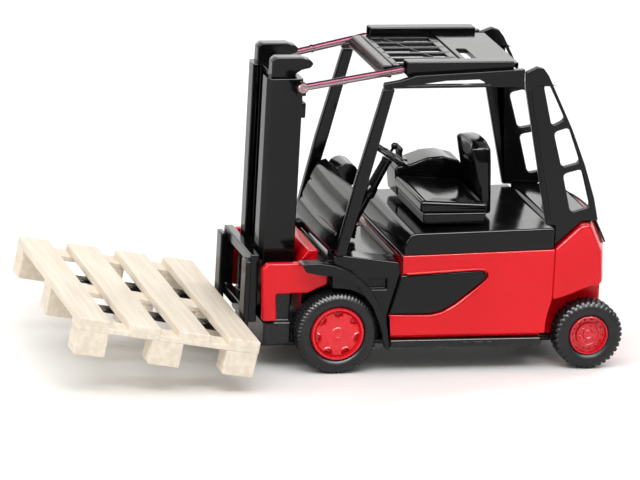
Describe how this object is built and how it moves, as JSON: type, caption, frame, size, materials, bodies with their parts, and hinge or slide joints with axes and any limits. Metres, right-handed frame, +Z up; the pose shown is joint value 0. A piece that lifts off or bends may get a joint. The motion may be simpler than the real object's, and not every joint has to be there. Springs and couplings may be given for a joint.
{
  "type": "toy forklift",
  "caption": "Small toy forklift truck with an overhead guard, tilting lift mast, sliding fork carriage, rolling wheels and a pallet on its forks.",
  "frame": {"origin": "bottom centre of the outer box, on the ground the wheels stand on", "axes": "+X forward, the way the forks point; +Y to the vehicle's left; +Z up"},
  "size_m": [0.0811, 0.0414, 0.0445],
  "materials": {
    "red_paint": "gloss enamel on die-cast metal",
    "black_gloss": "gloss",
    "chassis_plastic": "semi-gloss",
    "rim_plastic": "gloss",
    "tyre": "matt",
    "steel": "bright",
    "rod_metal": "dark plated",
    "pallet_plastic": "matt with moulded wood grain"
  },
  "bodies": {
    "chassis": {"base_plate": "chassis_plastic", "chassis_box": "chassis_plastic", "body_shell": "red_paint", "side_panel_left": "black_gloss", "side_panel_right": "black_gloss", "counterweight": "red_paint", "tail_cover": "black_gloss", "deck": "black_gloss", "step_side_left": "black_gloss", "step_side_right": "black_gloss", "cab_floor": "black_gloss", "fender_left": "black_gloss", "fender_right": "black_gloss", "front_bulkhead": "red_paint", "front_bracket_left": "red_paint", "front_bracket_right": "red_paint", "mast_pin": "steel", "hood": "black_gloss", "instrument_console": "black_gloss", "steering_column": "black_gloss", "steering_wheel": "black_gloss", "seat_base": "black_gloss", "seat_cushion": "black_gloss", "seat_back": "black_gloss", "armrest": "black_gloss", "lever_block": "black_gloss", "front_pillar_left": "black_gloss", "front_pillar_right": "black_gloss", "roof_front_beam": "black_gloss", "roof_side_beam_left": "black_gloss", "roof_side_beam_right": "black_gloss", "rod_barrel_left": "black_gloss", "rod_barrel_right": "black_gloss", "roof_grid": "black_gloss", "roof_rear": "black_gloss", "rear_corner_left": "black_gloss", "rear_corner_right": "black_gloss"},
    "mast": {"mast_column_left": "black_gloss", "mast_column_right": "black_gloss", "mast_foot": "black_gloss", "mast_crosshead": "black_gloss"},
    "inner_mast": {"inner_mast_left": "black_gloss", "inner_mast_right": "black_gloss", "inner_mast_tie": "black_gloss"},
    "carriage": {"fork_carriage": "black_gloss", "fork_tine_left": "black_gloss", "fork_tine_right": "black_gloss"},
    "pallet": {"pallet": "pallet_plastic"},
    "tilt_rod_left": {"tilt_rod_left": "rod_metal"},
    "tilt_rod_right": {"tilt_rod_right": "rod_metal"},
    "front_wheels": {"front_axle": "steel", "front_rim_left": "rim_plastic", "front_rim_right": "rim_plastic", "front_tyre_left": "tyre", "front_tyre_right": "tyre"},
    "rear_wheels": {"rear_axle": "steel", "rear_rim_left": "rim_plastic", "rear_rim_right": "rim_plastic", "rear_tyre_left": "tyre", "rear_tyre_right": "tyre"}
  },
  "joints": [
    {"name": "front_axle_spin", "type": "hinge", "parent": "chassis", "child": "front_wheels", "pos_m": [0.00088, 0, 0.0058], "axis": [0, 1, 0], "continuous": true},
    {"name": "rear_axle_spin", "type": "hinge", "parent": "chassis", "child": "rear_wheels", "pos_m": [-0.03562, 0, 0.00493], "axis": [0, 1, 0], "continuous": true},
    {"name": "mast_tilt", "type": "hinge", "parent": "chassis", "child": "mast", "pos_m": [0.00878, 0, 0.01], "axis": [0, 1, 0], "range_deg": [-4, 2]},
    {"name": "inner_mast_lift", "type": "slide", "parent": "mast", "child": "inner_mast", "axis": [0, 0, 1], "range_m": [0, 0.016]},
    {"name": "carriage_lift", "type": "slide", "parent": "inner_mast", "child": "carriage", "axis": [0, 0, 1], "range_m": [-0.0015, 0.022]},
    {"name": "pallet_draw", "type": "slide", "parent": "carriage", "child": "pallet", "axis": [0.9877, 0, 0.1564], "range_m": [0, 0.028]},
    {"name": "rod_left_pivot", "type": "hinge", "parent": "mast", "child": "tilt_rod_left", "pos_m": [0.00698, 0.0086, 0.0404], "axis": [0, 1, 0], "range_deg": [-2.5, 5]},
    {"name": "rod_right_pivot", "type": "hinge", "parent": "mast", "child": "tilt_rod_right", "pos_m": [0.00698, -0.0086, 0.0404], "axis": [0, 1, 0], "range_deg": [-2.5, 5]}
  ],
  "couplings": [
    {"joint": "rod_left_pivot", "follows": "mast_tilt", "ratio": -1.15},
    {"joint": "rod_right_pivot", "follows": "mast_tilt", "ratio": -1.15}
  ]
}
